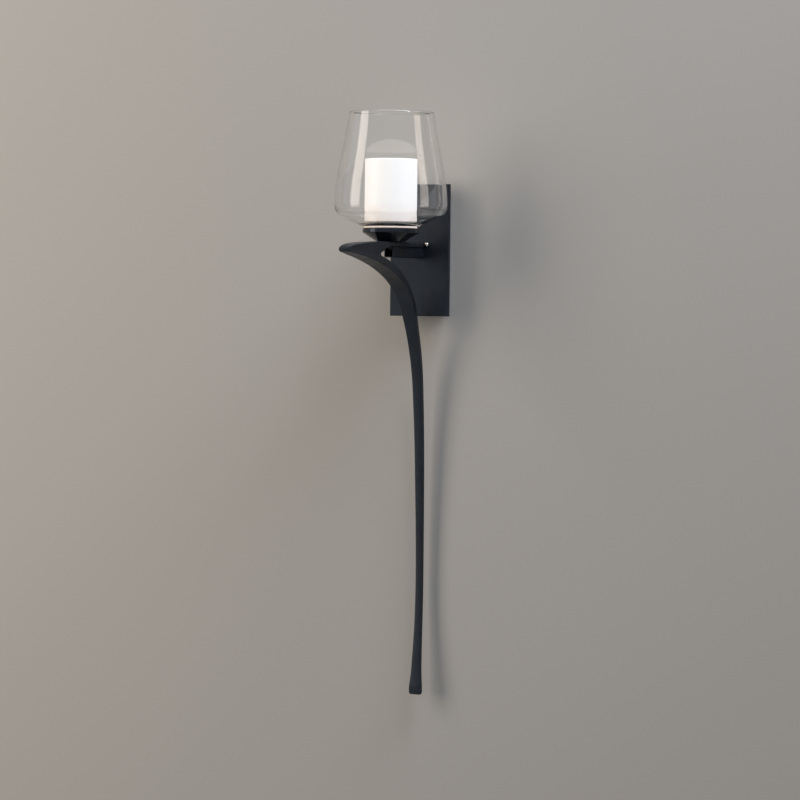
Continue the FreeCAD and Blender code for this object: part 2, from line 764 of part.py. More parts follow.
def make_shade_ring():
    """Threaded ring on the collar that holds both glasses down, notched for the fingers."""
    body = new_body("shade_ring")
    low = dim("ring_low")
    top = dim("ring_top")
    rad = dim("ring_rad")
    sketch = new_sketch(body, "ring_outline", "XZ_Plane")
    loop(sketch, [(dim("ring_bore"), low), (rad, low), (rad, top - 0.8), (rad - 0.8, top),
                  (dim("ring_bore"), top)])
    revolve(body, sketch)
    notch = new_sketch(body, "ring_notch", "XY_Plane", top)
    ring(notch, rad + 0.6, 0, 1.9)
    first = pocket(body, notch, top - low)
    pattern = body.newObject("PartDesign::PolarPattern", "ring_notches")
    pattern.Originals = [first]
    pattern.Axis = (notch, ["N_Axis"])
    pattern.Angle = 360
    pattern.Occurrences = 12
    body.Tip = pattern
    doc.recompute()
    on_lamp_axis(body)
    keep(body, "shade_ring")


def make_nut_and_washer():
    """Hexagon nut on the nipple over a spring washer."""
    base = dim("strap_top") + dim("cup_floor") + 1.5 + 1.0
    washer_part("lock_washer", dim("nipple_rad") + 0.2, 7, base, base + 1.1)
    body = new_body("nipple_nut")
    sketch = new_sketch(body, "nut_outline", "XY_Plane", base + 1.1)
    flat = 6.5 / math.cos(math.radians(30))
    corners = [(flat * math.cos(math.radians(60 * i)), flat * math.sin(math.radians(60 * i)))
               for i in range(6)]
    loop(sketch, [(fixed(x), fixed(y)) for x, y in corners])
    ring(sketch, 0, 0, dim("nipple_rad") + 0.05)
    pad(body, sketch, fixed(3.5))
    on_lamp_axis(body)
    keep(body, "nipple_nut")


def make_holder():
    """Bracket, ceramic lamp holder, its two screws and its two spring contacts."""
    axis = -dim("lamp_reach")
    wide = dim("holder_width") / 2
    deep = dim("holder_depth") / 2
    low = dim("holder_low")
    top = dim("holder_top")
    base = dim("strap_top") + dim("cup_floor") + 1.5
    foot = box("holder_foot", ((-wide - 1, wide + 1), (axis - 5, axis + 5), (base, base + 1)))
    arms = [box("holder_arm_left", ((-wide - 1, -wide), (axis - 5, axis + 5), (base, 34))),
            box("holder_arm_right", ((wide, wide + 1), (axis - 5, axis + 5), (base, 34)))]
    blank = fuse("holder_bracket_blank", [foot] + arms)
    bore = rod("holder_bracket_bore", dim("nipple_rad") + 0.2, 6, (0, axis, base - 2))
    side = rod("holder_bracket_side", 1.3, 30, (-15, axis, 29), "x")
    keep(cut("holder_bracket", blank, fuse("holder_bracket_cuts", [bore, side])),
         "holder_bracket")

    body = new_body("lamp_holder")
    sketch = new_sketch(body, "holder_outline", "XY_Plane", low)
    rectangle(sketch, dim("holder_width"), -deep, deep)
    feature = pad(body, sketch, top - low)
    upright = [i for i, e in enumerate(feature.Shape.Edges, 1)
               if e.BoundBox.ZLength > 10]
    ease(body, feature, fixed(2.5), picks=["Edge%d" % i for i in upright])
    slots = new_sketch(body, "holder_slots", "XY_Plane", top)
    for sign in (-1, 1):
        rectangle(slots, 3.0, -2.4, 2.4, dim("pin_spread") / 2 * sign)
    pocket(body, slots, fixed(13))
    bores = new_sketch(body, "holder_lead_bores", "XY_Plane", low)
    for sign in (-1, 1):
        ring(bores, dim("lead_pair") * sign, 0, dim("lead_rad") + 0.1)
    pocket(body, bores, fixed(2), turned=True)
    screw_bore = new_sketch(body, "holder_screw_bore", "YZ_Plane")
    ring(screw_bore, 0, 29, 1.3)
    side_cut = body.newObject("PartDesign::Pocket", "holder_screw_pocket")
    side_cut.Profile = screw_bore
    side_cut.Midplane = True
    bind(side_cut, "Length", fixed(40))
    doc.recompute()
    on_lamp_axis(body)
    keep(body, "lamp_holder")

    screws = []
    for name, sign in (("holder_screw_left", -1), ("holder_screw_right", 1)):
        inner = 7.4 if sign > 0 else -(value(wide) + 1)
        shank = rod(name + "_shank", 1.25, value(wide) + 1 - 7.4, (inner, axis, 29), "x")
        outer = value(wide) + 1 if sign > 0 else -(value(wide) + 1) - 1.5
        head = rod(name + "_head", 2.4, 1.5, (outer, axis, 29), "x")
        screws.append(fuse(name, [shank, head]))
    group("holder_screws", screws)

    clips = []
    for name, sign in (("clip_left", -1), ("clip_right", 1)):
        mid = dim("pin_spread") / 2 * sign
        leaves = [box(name + "_leaf_%d" % k, ((mid + a, mid + b), (axis - 2, axis + 2),
                                               (29.4, 39)))
                  for k, (a, b) in enumerate(((-1.05, -0.55), (0.55, 1.05)))]
        web = box(name + "_web", ((mid - 1.05, mid + 1.05), (axis - 2, axis + 2), (29, 29.5)))
        clips.append(fuse(name, leaves + [web]))
    group("holder_contacts", clips)


def make_bulb():
    """Two-pin capsule bulb: glass capsule with a flat pinch, pins and filament."""
    body = new_body("bulb_capsule")
    rad = dim("bulb_rad")
    wall = dim("bulb_wall")
    top = dim("bulb_top")
    neck = dim("bulb_neck")
    sketch = new_sketch(body, "capsule_outline", "XZ_Plane")
    loop(sketch, [(0, neck - 2), (rad - 1.2, neck - 2), (rad, neck), (rad, top - 5),
                  (rad - 0.9, top - 2.6), (rad - 2.8, top - 0.8), (rad - 4.6, top - 0.1),
                  (0, top), (0, top - wall), (rad - 4.9, top - wall - 0.2),
                  (rad - 3.4, top - wall - 0.8), (rad - wall - 0.8, top - 3.2),
                  (rad - wall, top - 5.2), (rad - wall, neck), (0, neck)])
    revolve(body, sketch)
    pinch = new_sketch(body, "pinch_outline", "XZ_Plane")
    loop(pinch, [(-7.2, dim("bulb_low")), (7.2, dim("bulb_low")), (7.2, neck - 1.5),
                 (5.6, neck - 0.4), (-5.6, neck - 0.4), (-7.2, neck - 1.5)])
    pad(body, pinch, fixed(3.6), both=True)
    on_lamp_axis(body)
    keep(body, "bulb_capsule")

    axis = -dim("lamp_reach")
    pins = [box("bulb_pin_left", ((-dim("pin_spread") / 2 - 0.45, -dim("pin_spread") / 2 + 0.45),
                                  (axis - 1.5, axis + 1.5), (33, dim("bulb_low")))),
            box("bulb_pin_right", ((dim("pin_spread") / 2 - 0.45, dim("pin_spread") / 2 + 0.45),
                                   (axis - 1.5, axis + 1.5), (33, dim("bulb_low"))))]
    group("bulb_pins", pins)
    posts = [rod("post_left", 0.35, 16, (-3.2, axis, neck)),
             rod("post_right", 0.35, 16, (3.2, axis, neck))]
    coil = rod("coil", 0.9, 7.2, (-3.6, axis, neck + 16.6), "x")
    keep(fuse("bulb_filament", posts + [coil]), "bulb_filament")


# ---- leads ----------------------------------------------------------------------------

def make_leads():
    """Live and neutral leads from the lamp holder to the splices, and the ground lead."""
    reach = sheet_num("lamp_reach")
    pair = sheet_num("lead_pair")
    level = -sheet_num("lead_level")
    deep = sheet_num("splice_depth")
    out = sheet_num("splice_spread") / 2
    down = -sheet_num("splice_level")
    turn = sheet_num("lead_turn")
    rad = sheet_num("lead_rad")
    high = sheet_num("holder_low") + 1.9
    for name, sign in (("live_lead", 1), ("neutral_lead", -1)):
        spots = [(sign * pair, -reach, high), (sign * pair, -reach, level),
                 (sign * pair, -deep, level), (sign * out, -deep, level),
                 (sign * out, -deep, down - 10)]
        keep(plain(name, lead_shape(spots, turn, rad)), name)
    rise = sheet_num("bracket_thick") + 1.1
    sink = sheet_num("plate_back") - sheet_num("pan_sheet") - sheet_num("flange_thick") - 1.1
    spots = [(0, -rise, -29.8), (0, -rise, -44), (0, -sink, -44), (0, -sink, -20.1)]
    lead = lead_shape(spots, 5.0, 0.8)
    first = Part.makeCylinder(4.2, 0.8, Vector(0, -rise + 1.1, -26), Vector(0, -1, 0))
    first = first.cut(Part.makeCylinder(1.6, 4, Vector(0, 0, -26), Vector(0, -1, 0)))
    low = -sheet_num("flange_spread") / 2
    second = Part.makeCylinder(3.6, 0.8, Vector(0, -sink - 0.3, low), Vector(0, -1, 0))
    second = second.cut(Part.makeCylinder(1.6, 40, Vector(0, 0, low), Vector(0, -1, 0)))
    shape = lead.fuse([first, second]).removeSplitter()
    keep(plain("ground_lead", shape.Solids[0]), "ground_lead")

    caps = []
    for name, sign in (("cap_left", -1), ("cap_right", 1)):
        cap = doc.addObject("Part::Cone", name)
        bind(cap, "Radius1", fixed(4.2))
        bind(cap, "Radius2", fixed(5.6))
        bind(cap, "Height", fixed(20))
        bind(cap, "Placement.Base.x", dim("splice_spread") / 2 * sign)
        bind(cap, "Placement.Base.y", -dim("splice_depth"))
        bind(cap, "Placement.Base.z", -dim("splice_level") - 20)
        bore = rod(name + "_bore", 2.4, 13, (dim("splice_spread") / 2 * sign,
                                             -dim("splice_depth"), -dim("splice_level") - 12))
        caps.append(cut(name + "_shell", cap, bore))
    group("wire_caps", caps)


def check_all():
    doc.recompute()
    for obj in doc.Objects:
        if "Invalid" in obj.State or "Error" in obj.State:
            raise RuntimeError("failed: " + obj.Name)
    for piece in PARTS:
        if piece.Shape.isNull() or not piece.Shape.isValid():
            raise RuntimeError("bad shape: " + piece.Label)


def write_all():
    os.makedirs("parts", exist_ok=True)
    for piece in PARTS:
        piece.Shape.exportStep("parts/%s.step" % piece.Label)
        size = piece.Shape.BoundBox
        print("%-18s solids %d  volume %9.1f  x %.1f..%.1f  y %.1f..%.1f  z %.1f..%.1f" % (
            piece.Label, len(piece.Shape.Solids), piece.Shape.Volume, size.XMin, size.XMax,
            size.YMin, size.YMax, size.ZMin, size.ZMax))


fill_sheet()
make_bracket()
make_backplate()
make_pan()
make_pan_seal()
make_flange()
make_cover_screws()
make_flange_screws()
make_ground_screw()
make_forged_bar()
make_channel()
make_bushing()
make_lamp_stack()
make_outer_glass()
make_shade_ring()
make_nut_and_washer()
make_holder()
make_bulb()
make_leads()
check_all()
write_all()
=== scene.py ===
import json
import math

import bmesh
import bpy
import numpy as np
from mathutils import Matrix, Vector


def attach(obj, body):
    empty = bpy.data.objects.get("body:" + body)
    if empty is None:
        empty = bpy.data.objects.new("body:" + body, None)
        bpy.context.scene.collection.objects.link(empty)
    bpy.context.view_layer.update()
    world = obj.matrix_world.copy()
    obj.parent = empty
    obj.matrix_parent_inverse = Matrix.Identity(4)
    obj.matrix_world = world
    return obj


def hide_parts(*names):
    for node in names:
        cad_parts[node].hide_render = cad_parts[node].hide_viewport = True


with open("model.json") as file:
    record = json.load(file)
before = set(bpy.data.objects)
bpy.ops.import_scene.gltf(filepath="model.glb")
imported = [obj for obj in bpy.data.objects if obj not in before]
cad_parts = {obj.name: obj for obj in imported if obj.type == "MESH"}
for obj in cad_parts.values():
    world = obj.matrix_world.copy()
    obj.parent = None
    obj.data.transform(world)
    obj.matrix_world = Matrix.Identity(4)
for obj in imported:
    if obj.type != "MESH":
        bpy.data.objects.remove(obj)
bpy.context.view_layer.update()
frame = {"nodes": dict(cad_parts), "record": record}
print("frame loaded:", len(frame["nodes"]), "nodes")

mm = 0.001
lampReach = 103.5  # the lamp's axis stands this far from the wall


def hexColor(text):
    # sRGB hex to linear: the usual two-part curve, channel by channel
    srgb = np.array([int(text[i:i + 2], 16) for i in (1, 3, 5)]) / 255.0
    linear = np.where(srgb <= 0.04045, srgb / 12.92, ((srgb + 0.055) / 1.055) ** 2.4)
    return (*[float(c) for c in linear], 1.0)


def splineThrough(knots, step=1.0, startWay=None, endWay=None):
    # natural or clamped cubic through the knots, over their summed chord lengths:
    # the slopes m solve m[i-1]/h[i-1] + 2(1/h[i-1] + 1/h[i])m[i] + m[i+1]/h[i] = 3(...)
    p = np.array(knots, float)
    h = np.linalg.norm(np.diff(p, axis=0), axis=1)
    t = np.concatenate([[0], np.cumsum(h)])
    n = len(p)
    a = np.zeros((n, n))
    b = np.zeros((n, 2))
    inner = np.arange(1, n - 1)
    a[inner, inner - 1] = 1 / h[:-1]
    a[inner, inner] = 2 * (1 / h[:-1] + 1 / h[1:])
    a[inner, inner + 1] = 1 / h[1:]
    slope = np.diff(p, axis=0) / h[:, None] ** 2
    b[inner] = 3 * (slope[:-1] + slope[1:])
    for row, way, near, chord in ((0, startWay, 1, 0), (n - 1, endWay, n - 2, n - 2)):
        if way is None:
            a[row, row], a[row, near] = 2, 1
            b[row] = 3 * (p[chord + 1] - p[chord]) / h[chord]
        else:
            a[row, row] = 1
            b[row] = np.array(way) / np.linalg.norm(way)
    m = np.linalg.solve(a, b)
    u = np.linspace(0, t[-1], max(2, int(t[-1] / step)) + 1)
    k = np.clip(np.searchsorted(t, u, side="right") - 1, 0, n - 2)
    s = ((u - t[k]) / h[k])[:, None]
    hk = h[k][:, None]
    return ((2 * s**3 - 3 * s**2 + 1) * p[k] + (s**3 - 2 * s**2 + s) * hk * m[k]
            + (3 * s**2 - 2 * s**3) * p[k + 1] + (s**3 - s**2) * hk * m[k + 1])


def resample(line, fractions):
    # the point at each fraction of the line's length
    length = np.concatenate([[0], np.cumsum(np.linalg.norm(np.diff(line, axis=0), axis=1))])
    at = np.asarray(fractions) * length[-1]
    return np.stack([np.interp(at, length, line[:, i]) for i in range(2)], axis=1)


def roundedLoop(corners, steps=6):
    # corners are (a, b, fillet); each becomes an arc tangent to both its sides
    p = np.array([c[:2] for c in corners], float)
    out = []
    for i, (x, z, fillet) in enumerate(corners):
        here = p[i]
        back = p[i - 1] - here
        on = p[(i + 1) % len(p)] - here
        back /= np.linalg.norm(back)
        on /= np.linalg.norm(on)
        if fillet <= 0:
            out.append(here[None])
            continue
        half = math.acos(float(np.clip(back @ on, -1, 1))) / 2
        reach = fillet / math.tan(half)
        middle = here + (back + on) / np.linalg.norm(back + on) * fillet / math.sin(half)
        first = here + back * reach - middle
        last = here + on * reach - middle
        w = np.linspace(0, 1, steps)[:, None]
        arc = first * (1 - w) + last * w
        out.append(middle + arc / np.linalg.norm(arc, axis=1)[:, None] * fillet)
    return np.concatenate(out)


def gridFaces(rows, cols, wrapRows=False, wrapCols=False, offset=0):
    # quads between neighbouring points of a rows x cols grid
    i = np.arange(rows if wrapRows else rows - 1)[:, None]
    j = np.arange(cols if wrapCols else cols - 1)[None, :]
    i2 = (i + 1) % rows
    j2 = (j + 1) % cols
    quads = np.stack([i * cols + j, i2 * cols + j, i2 * cols + j2, i * cols + j2], axis=-1)
    return quads.reshape(-1, 4) + offset


def meshObject(name, points, faces, body, nodes):
    mesh = bpy.data.meshes.new(name)
    mesh.from_pydata((np.asarray(points, float) * mm).tolist(), [], faces)
    mesh.validate()
    mesh.update()
    mesh.polygons.foreach_set("use_smooth", [True] * len(mesh.polygons))
    piece = bpy.data.objects.new(name, mesh)
    bpy.context.scene.collection.objects.link(piece)
    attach(piece, body)
    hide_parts(*nodes)
    return piece


def tidyMesh(piece, merge=0.02):
    # merges doubles and turns all faces outwards
    bm = bmesh.new()
    bm.from_mesh(piece.data)
    bmesh.ops.remove_doubles(bm, verts=bm.verts, dist=merge * mm)
    bmesh.ops.recalc_face_normals(bm, faces=bm.faces)
    bm.to_mesh(piece.data)
    bm.free()
    return piece


def lathe(name, loop, body, nodes, around=128):
    # each profile point (r, z) goes round: x = r cos, y = r sin about the lamp's axis
    turn = np.linspace(0, 2 * np.pi, around, endpoint=False)
    r = loop[:, 0][:, None]
    z = np.broadcast_to(loop[:, 1][:, None], (len(loop), around))
    points = np.stack([r * np.cos(turn), r * np.sin(turn) - lampReach, z], axis=-1)
    faces = gridFaces(len(loop), around, wrapRows=True, wrapCols=True).tolist()
    piece = meshObject(name, points.reshape(-1, 3), faces, body, nodes)
    return tidyMesh(piece)


def finishEdges(piece, width, segments=3):
    bevel = piece.modifiers.new("edges", "BEVEL")
    bevel.width = width * mm
    bevel.segments = segments
    bevel.limit_method = "ANGLE"
    bevel.angle_limit = math.radians(35)
    bevel.harden_normals = False
    weigh = piece.modifiers.new("normals", "WEIGHTED_NORMAL")
    weigh.keep_sharp = True
    return piece


def addNode(tree, kind, links=None, **settings):
    # adds one node, sets its properties or inputs by name, and links its inputs
    node = tree.nodes.new(kind)
    for key, value in settings.items():
        if hasattr(node, key):
            setattr(node, key, value)
        else:
            node.inputs[key.replace("_", " ")].default_value = value
    for key, source in (links or {}).items():
        tree.links.new(source, node.inputs[key])
    return node


def newMaterial(name):
    material = bpy.data.materials.new(name)
    material.use_nodes = True
    tree = material.node_tree
    tree.nodes.clear()
    out = addNode(tree, "ShaderNodeOutputMaterial")
    where = addNode(tree, "ShaderNodeTexCoord").outputs["Object"]
    return material, tree, out, where


def ramp(tree, source, stops):
    node = addNode(tree, "ShaderNodeValToRGB", {0: source})
    while len(node.color_ramp.elements) < len(stops):
        node.color_ramp.elements.new(0.5)
    for element, (place, color) in zip(node.color_ramp.elements, stops):
        element.position = place
        element.color = hexColor(color) if isinstance(color, str) else (color,) * 3 + (1,)
    return node.outputs[0]


powderLook = {"base": "#16191d", "pale": "#1c1f23", "rough": (0.36, 0.47),
              "peelMm": 0.9, "dimpleMm": 9.0, "peel": 0.06, "dimple": 0.5,
              "sheen": "#c4d2e6", "level": 0.42}
cupLook = {**powderLook, "rough": (0.11, 0.16), "peel": 0.04}  # spun smooth, so a little glossier


def powderCoatedForging(name, look, dimple=None):
    # satin powder coat over hammered steel: near black, soft wide highlights, fine orange
    # peel under a millimetre, and shallow hammer marks about a centimetre across
    material, tree, out, where = newMaterial(name)
    peel = addNode(tree, "ShaderNodeTexNoise", {"Vector": where}, Scale=1 / (look["peelMm"] * mm),
                   Detail=2.0, Roughness=0.5).outputs["Fac"]
    marks = addNode(tree, "ShaderNodeTexNoise", {"Vector": where},
                    Scale=1 / (look["dimpleMm"] * mm), Detail=1.0, Roughness=0.4).outputs["Fac"]
    cloud = addNode(tree, "ShaderNodeTexNoise", {"Vector": where}, Scale=1 / (30 * mm),
                    Detail=4.0).outputs["Fac"]
    tint = ramp(tree, cloud, [(0.35, look["base"]), (0.7, look["pale"])])
    rough = addNode(tree, "ShaderNodeMapRange", {"Value": marks}, From_Min=0.3, From_Max=0.7,
                    To_Min=look["rough"][0], To_Max=look["rough"][1]).outputs[0]
    depth = look["dimple"] if dimple is None else dimple
    hammered = addNode(tree, "ShaderNodeBump", {"Height": marks}, Strength=depth,
                       Distance=0.5 * mm).outputs[0]
    skin = addNode(tree, "ShaderNodeBump", {"Height": peel, "Normal": hammered},
                   Strength=look["peel"], Distance=0.3 * mm).outputs[0]
    shader = addNode(tree, "ShaderNodeBsdfPrincipled",
                     {"Base Color": tint, "Roughness": rough, "Normal": skin})
    shader.inputs["Specular IOR Level"].default_value = look["level"]
    shader.inputs["Specular Tint"].default_value = hexColor(look["sheen"])
    tree.links.new(shader.outputs[0], out.inputs["Surface"])
    return material


metalLook = {
    "zinc_steel": {"name": "zinc_plated_steel", "base": "#b4b5b3", "pale": "#c9c9c4",
                   "rough": (0.30, 0.42), "grainMm": 0.6},
    "nickel": {"name": "polished_nickel", "base": "#cfc9be", "pale": "#d8d2c8",
               "rough": (0.10, 0.16), "grainMm": 0.4},
    "contact_brass": {"name": "rolled_brass", "base": "#c79a4c", "pale": "#d2aa62",
                      "rough": (0.28, 0.38), "grainMm": 0.5},
    "filament_wire": {"name": "drawn_filament_wire", "base": "#77787a", "pale": "#8b8c8e",
                      "rough": (0.35, 0.45), "grainMm": 0.3},
}


def platedMetal(look):
    # plated or bare metal, pressed, turned or drawn: bright, cloudy patches, fine scratches
    material, tree, out, where = newMaterial(look["name"])
    cloud = addNode(tree, "ShaderNodeTexNoise", {"Vector": where}, Scale=1 / (6 * mm),
                    Detail=3.0).outputs["Fac"]
    grain = addNode(tree, "ShaderNodeTexNoise", {"Vector": where},
                    Scale=1 / (look["grainMm"] * mm), Detail=2.0).outputs["Fac"]
    tint = ramp(tree, cloud, [(0.3, look["base"]), (0.7, look["pale"])])
    rough = addNode(tree, "ShaderNodeMapRange", {"Value": grain}, From_Min=0.3, From_Max=0.7,
                    To_Min=look["rough"][0], To_Max=look["rough"][1]).outputs[0]
    bump = addNode(tree, "ShaderNodeBump", {"Height": grain}, Strength=0.05,
                   Distance=0.1 * mm).outputs[0]
    shader = addNode(tree, "ShaderNodeBsdfPrincipled",
                     {"Base Color": tint, "Roughness": rough, "Normal": bump}, Metallic=1.0)
    tree.links.new(shader.outputs[0], out.inputs["Surface"])
    return material


# each row: name, two tints, roughness, size of the grain in mm, depth of the grain
mouldedLook = {
    "foam": ("closed_cell_foam", "#151515", "#1d1d1d", 0.9, 0.8, 0.4),
    "lead_black": ("extruded_black_insulation", "#0f0f10", "#161617", 0.35, 1.5, 0.03),
    "grey_gasket": ("die_cut_grey_rubber", "#8f8f8f", "#9a9a9a", 0.7, 0.6, 0.15),
    "lead_green": ("extruded_green_insulation", "#1c6b33", "#24793c", 0.35, 1.5, 0.03),
    "cap_plastic": ("moulded_orange_nylon", "#c96a1c", "#d27628", 0.5, 0.7, 0.1),
    "bushing_plastic": ("moulded_black_nylon", "#131314", "#1b1b1c", 0.5, 0.7, 0.1),
    "green_steel": ("dyed_green_steel", "#16633a", "#1f7547", 0.3, 0.8, 0.05),
    "ceramic": ("glazed_white_ceramic", "#e3dfd6", "#ece9e2", 0.25, 1.2, 0.06),
}


def mouldedSkin(name, base, pale, rough, grainMm, depth):
    # moulded, dyed or glazed surface: even colour, slight mottling, fine grain in the gloss
    material, tree, out, where = newMaterial(name)
    grain = addNode(tree, "ShaderNodeTexNoise", {"Vector": where}, Scale=1 / (grainMm * mm),
                    Detail=2.0).outputs["Fac"]
    tint = ramp(tree, grain, [(0.3, base), (0.7, pale)])
    bump = addNode(tree, "ShaderNodeBump", {"Height": grain}, Strength=depth,
                   Distance=0.2 * mm).outputs[0]
    shader = addNode(tree, "ShaderNodeBsdfPrincipled", {"Base Color": tint, "Normal": bump},
                     Roughness=rough)
    tree.links.new(shader.outputs[0], out.inputs["Surface"])
    return material


glassLook = {"tint": "#ffffff", "waveMm": 45.0, "wave": 0.05}


def blownGlass(name, look):
    # clear blown soda glass: slow waves from the mould in its gloss; lamps shine through it
    material, tree, out, where = newMaterial(name)
    wave = addNode(tree, "ShaderNodeTexNoise", {"Vector": where}, Scale=1 / (look["waveMm"] * mm),
                   Detail=1.0).outputs["Fac"]
    bump = addNode(tree, "ShaderNodeBump", {"Height": wave}, Strength=look["wave"],
                   Distance=1.0 * mm).outputs[0]
    glass = addNode(tree, "ShaderNodeBsdfPrincipled", {"Normal": bump}, Roughness=0.0, IOR=1.5,
                    Transmission_Weight=1.0)
    glass.inputs["Base Color"].default_value = hexColor(look["tint"])
    clear = addNode(tree, "ShaderNodeBsdfTransparent")
    path = addNode(tree, "ShaderNodeLightPath")
    shine = addNode(tree, "ShaderNodeMath", {0: path.outputs["Is Shadow Ray"],
                                             1: path.outputs["Is Diffuse Ray"]},
                    operation="MAXIMUM").outputs[0]
    mix = addNode(tree, "ShaderNodeMixShader", {0: shine, 1: glass.outputs[0],
                                                2: clear.outputs[0]})
    tree.links.new(mix.outputs[0], out.inputs["Surface"])
    return material


opalLook = {"base": "#f4f1ea", "low": "#ffe4d2", "warm": "#fff0e6", "high": "#fffcf7",
            "from": 34.0, "to": 111.2, "glow": 0.43}


def opalGlass(name, look):
    # etched white glass with a painted glow standing in for the bulb's light inside: none at its
    # very bottom, then warm and a little dimmer at its foot
    material, tree, out, where = newMaterial(name)
    height = addNode(tree, "ShaderNodeSeparateXYZ", {0: where}).outputs["Z"]
    rise = addNode(tree, "ShaderNodeMapRange", {"Value": height}, From_Min=look["from"] * mm,
                   From_Max=look["to"] * mm).outputs[0]
    etch = addNode(tree, "ShaderNodeTexNoise", {"Vector": where}, Scale=1 / (0.5 * mm),
                   Detail=2.0).outputs["Fac"]
    # painted glow by height: black at the very bottom, peach at the foot, near white higher up
    glow = ramp(tree, rise, [(0.02, "#000000"), (0.03, look["low"]), (0.08, look["warm"]),
                             (0.3, look["high"])])
    bump = addNode(tree, "ShaderNodeBump", {"Height": etch}, Strength=0.06,
                   Distance=0.1 * mm).outputs[0]
    shader = addNode(tree, "ShaderNodeBsdfPrincipled",
                     {"Emission Color": glow, "Normal": bump}, Roughness=0.45)
    shader.inputs["Base Color"].default_value = hexColor(look["base"])
    shader.inputs["Emission Strength"].default_value = look["glow"]
    tree.links.new(shader.outputs[0], out.inputs["Surface"])
    return material


siliconeLook = {"base": "#e9e2d6", "pale": "#f1ebe0", "glow": "#ffc79c", "strength": 0.3,
                "from": 25.8, "to": 28.0}


def siliconeRubber(name, look):
    # translucent white silicone with a painted glow across the middle of its height, none on its
    # top, standing in for light from the inner glass seeping through it
    material, tree, out, where = newMaterial(name)
    cloud = addNode(tree, "ShaderNodeTexNoise", {"Vector": where}, Scale=1 / (3 * mm),
                    Detail=2.0).outputs["Fac"]
    tint = ramp(tree, cloud, [(0.3, look["base"]), (0.7, look["pale"])])
    bump = addNode(tree, "ShaderNodeBump", {"Height": cloud}, Strength=0.05,
                   Distance=0.2 * mm).outputs[0]
    height = addNode(tree, "ShaderNodeSeparateXYZ", {0: where}).outputs["Z"]
    rise = addNode(tree, "ShaderNodeMapRange", {"Value": height}, From_Min=look["from"] * mm,
                   From_Max=look["to"] * mm).outputs[0]
    # painted glow band: dark at the gasket's foot, lit across its middle, dark again at its top
    glow = ramp(tree, rise, [(0.0, "#000000"), (0.2, look["glow"]), (0.75, look["glow"]),
                             (0.88, "#000000")])
    shader = addNode(tree, "ShaderNodeBsdfPrincipled",
                     {"Base Color": tint, "Normal": bump, "Emission Color": glow}, Roughness=0.6)
    shader.inputs["Emission Strength"].default_value = look["strength"]
    tree.links.new(shader.outputs[0], out.inputs["Surface"])
    return material


materials = {"black_coat": powderCoatedForging("powder_coated_forging", powderLook),
             "plate": powderCoatedForging("powder_coated_sheet", powderLook, 0.12),
             "cup": powderCoatedForging("powder_coated_spinning", cupLook, 0.08),
             "clear_glass": blownGlass("blown_clear_glass", glassLook),
             "bulb_glass": blownGlass("drawn_bulb_glass", glassLook),
             "opal_glass": opalGlass("etched_opal_glass", opalLook),
             "silicone": siliconeRubber("silicone_rubber", siliconeLook)}
for slotName, look in metalLook.items():
    materials[slotName] = platedMetal(look)
for slotName, row in mouldedLook.items():
    materials[slotName] = mouldedSkin(*row)

for record in frame["record"]["subparts"]:
    node = frame["nodes"][record["node"]]
    node.data.materials.clear()
    node.data.materials.append(materials[record["material_slot"]])
print("materials made:", len(materials))


def dress(piece, material):
    piece.data.materials.append(materials[material])
    return piece


# angles in degrees, distance in mm; focal length and the origin's place in pixels of the photo
view = {"side": 27.0, "tilt": -1.968767, "roll": 0.62, "distance": 4050.6, "focal": 3200.0,
        "picture": 800, "originAt": (427.7, 250.5), "sensor": 36.0}


def makeCamera():
    # the photo's pinhole: looks along forward, and the ray to the origin gives its place
    side = math.radians(view["side"])
    tilt = math.radians(view["tilt"])
    roll = math.radians(view["roll"])
    forward = Vector((-math.sin(side) * math.cos(tilt), math.cos(side) * math.cos(tilt),
                      math.sin(tilt)))
    level = Vector((math.cos(side), math.sin(side), 0))
    upright = level.cross(forward)
    right = math.cos(roll) * level + math.sin(roll) * upright
    up = math.cos(roll) * upright - math.sin(roll) * level
    across, down = [(at - view["picture"] / 2) / view["focal"] for at in view["originAt"]]
    ray = forward + across * right - down * up
    data = bpy.data.cameras.new("camera")
    data.sensor_width = view["sensor"]
    data.lens = view["sensor"] * view["focal"] / view["picture"]
    data.clip_start = 0.05
    data.clip_end = 60
    camera = bpy.data.objects.new("camera", data)
    bpy.context.scene.collection.objects.link(camera)
    turn = Matrix((right, up, -forward)).transposed()
    camera.matrix_world = Matrix.Translation(-view["distance"] * mm * ray) @ turn.to_4x4()
    bpy.context.scene.camera = camera


makeCamera()
print("camera placed")


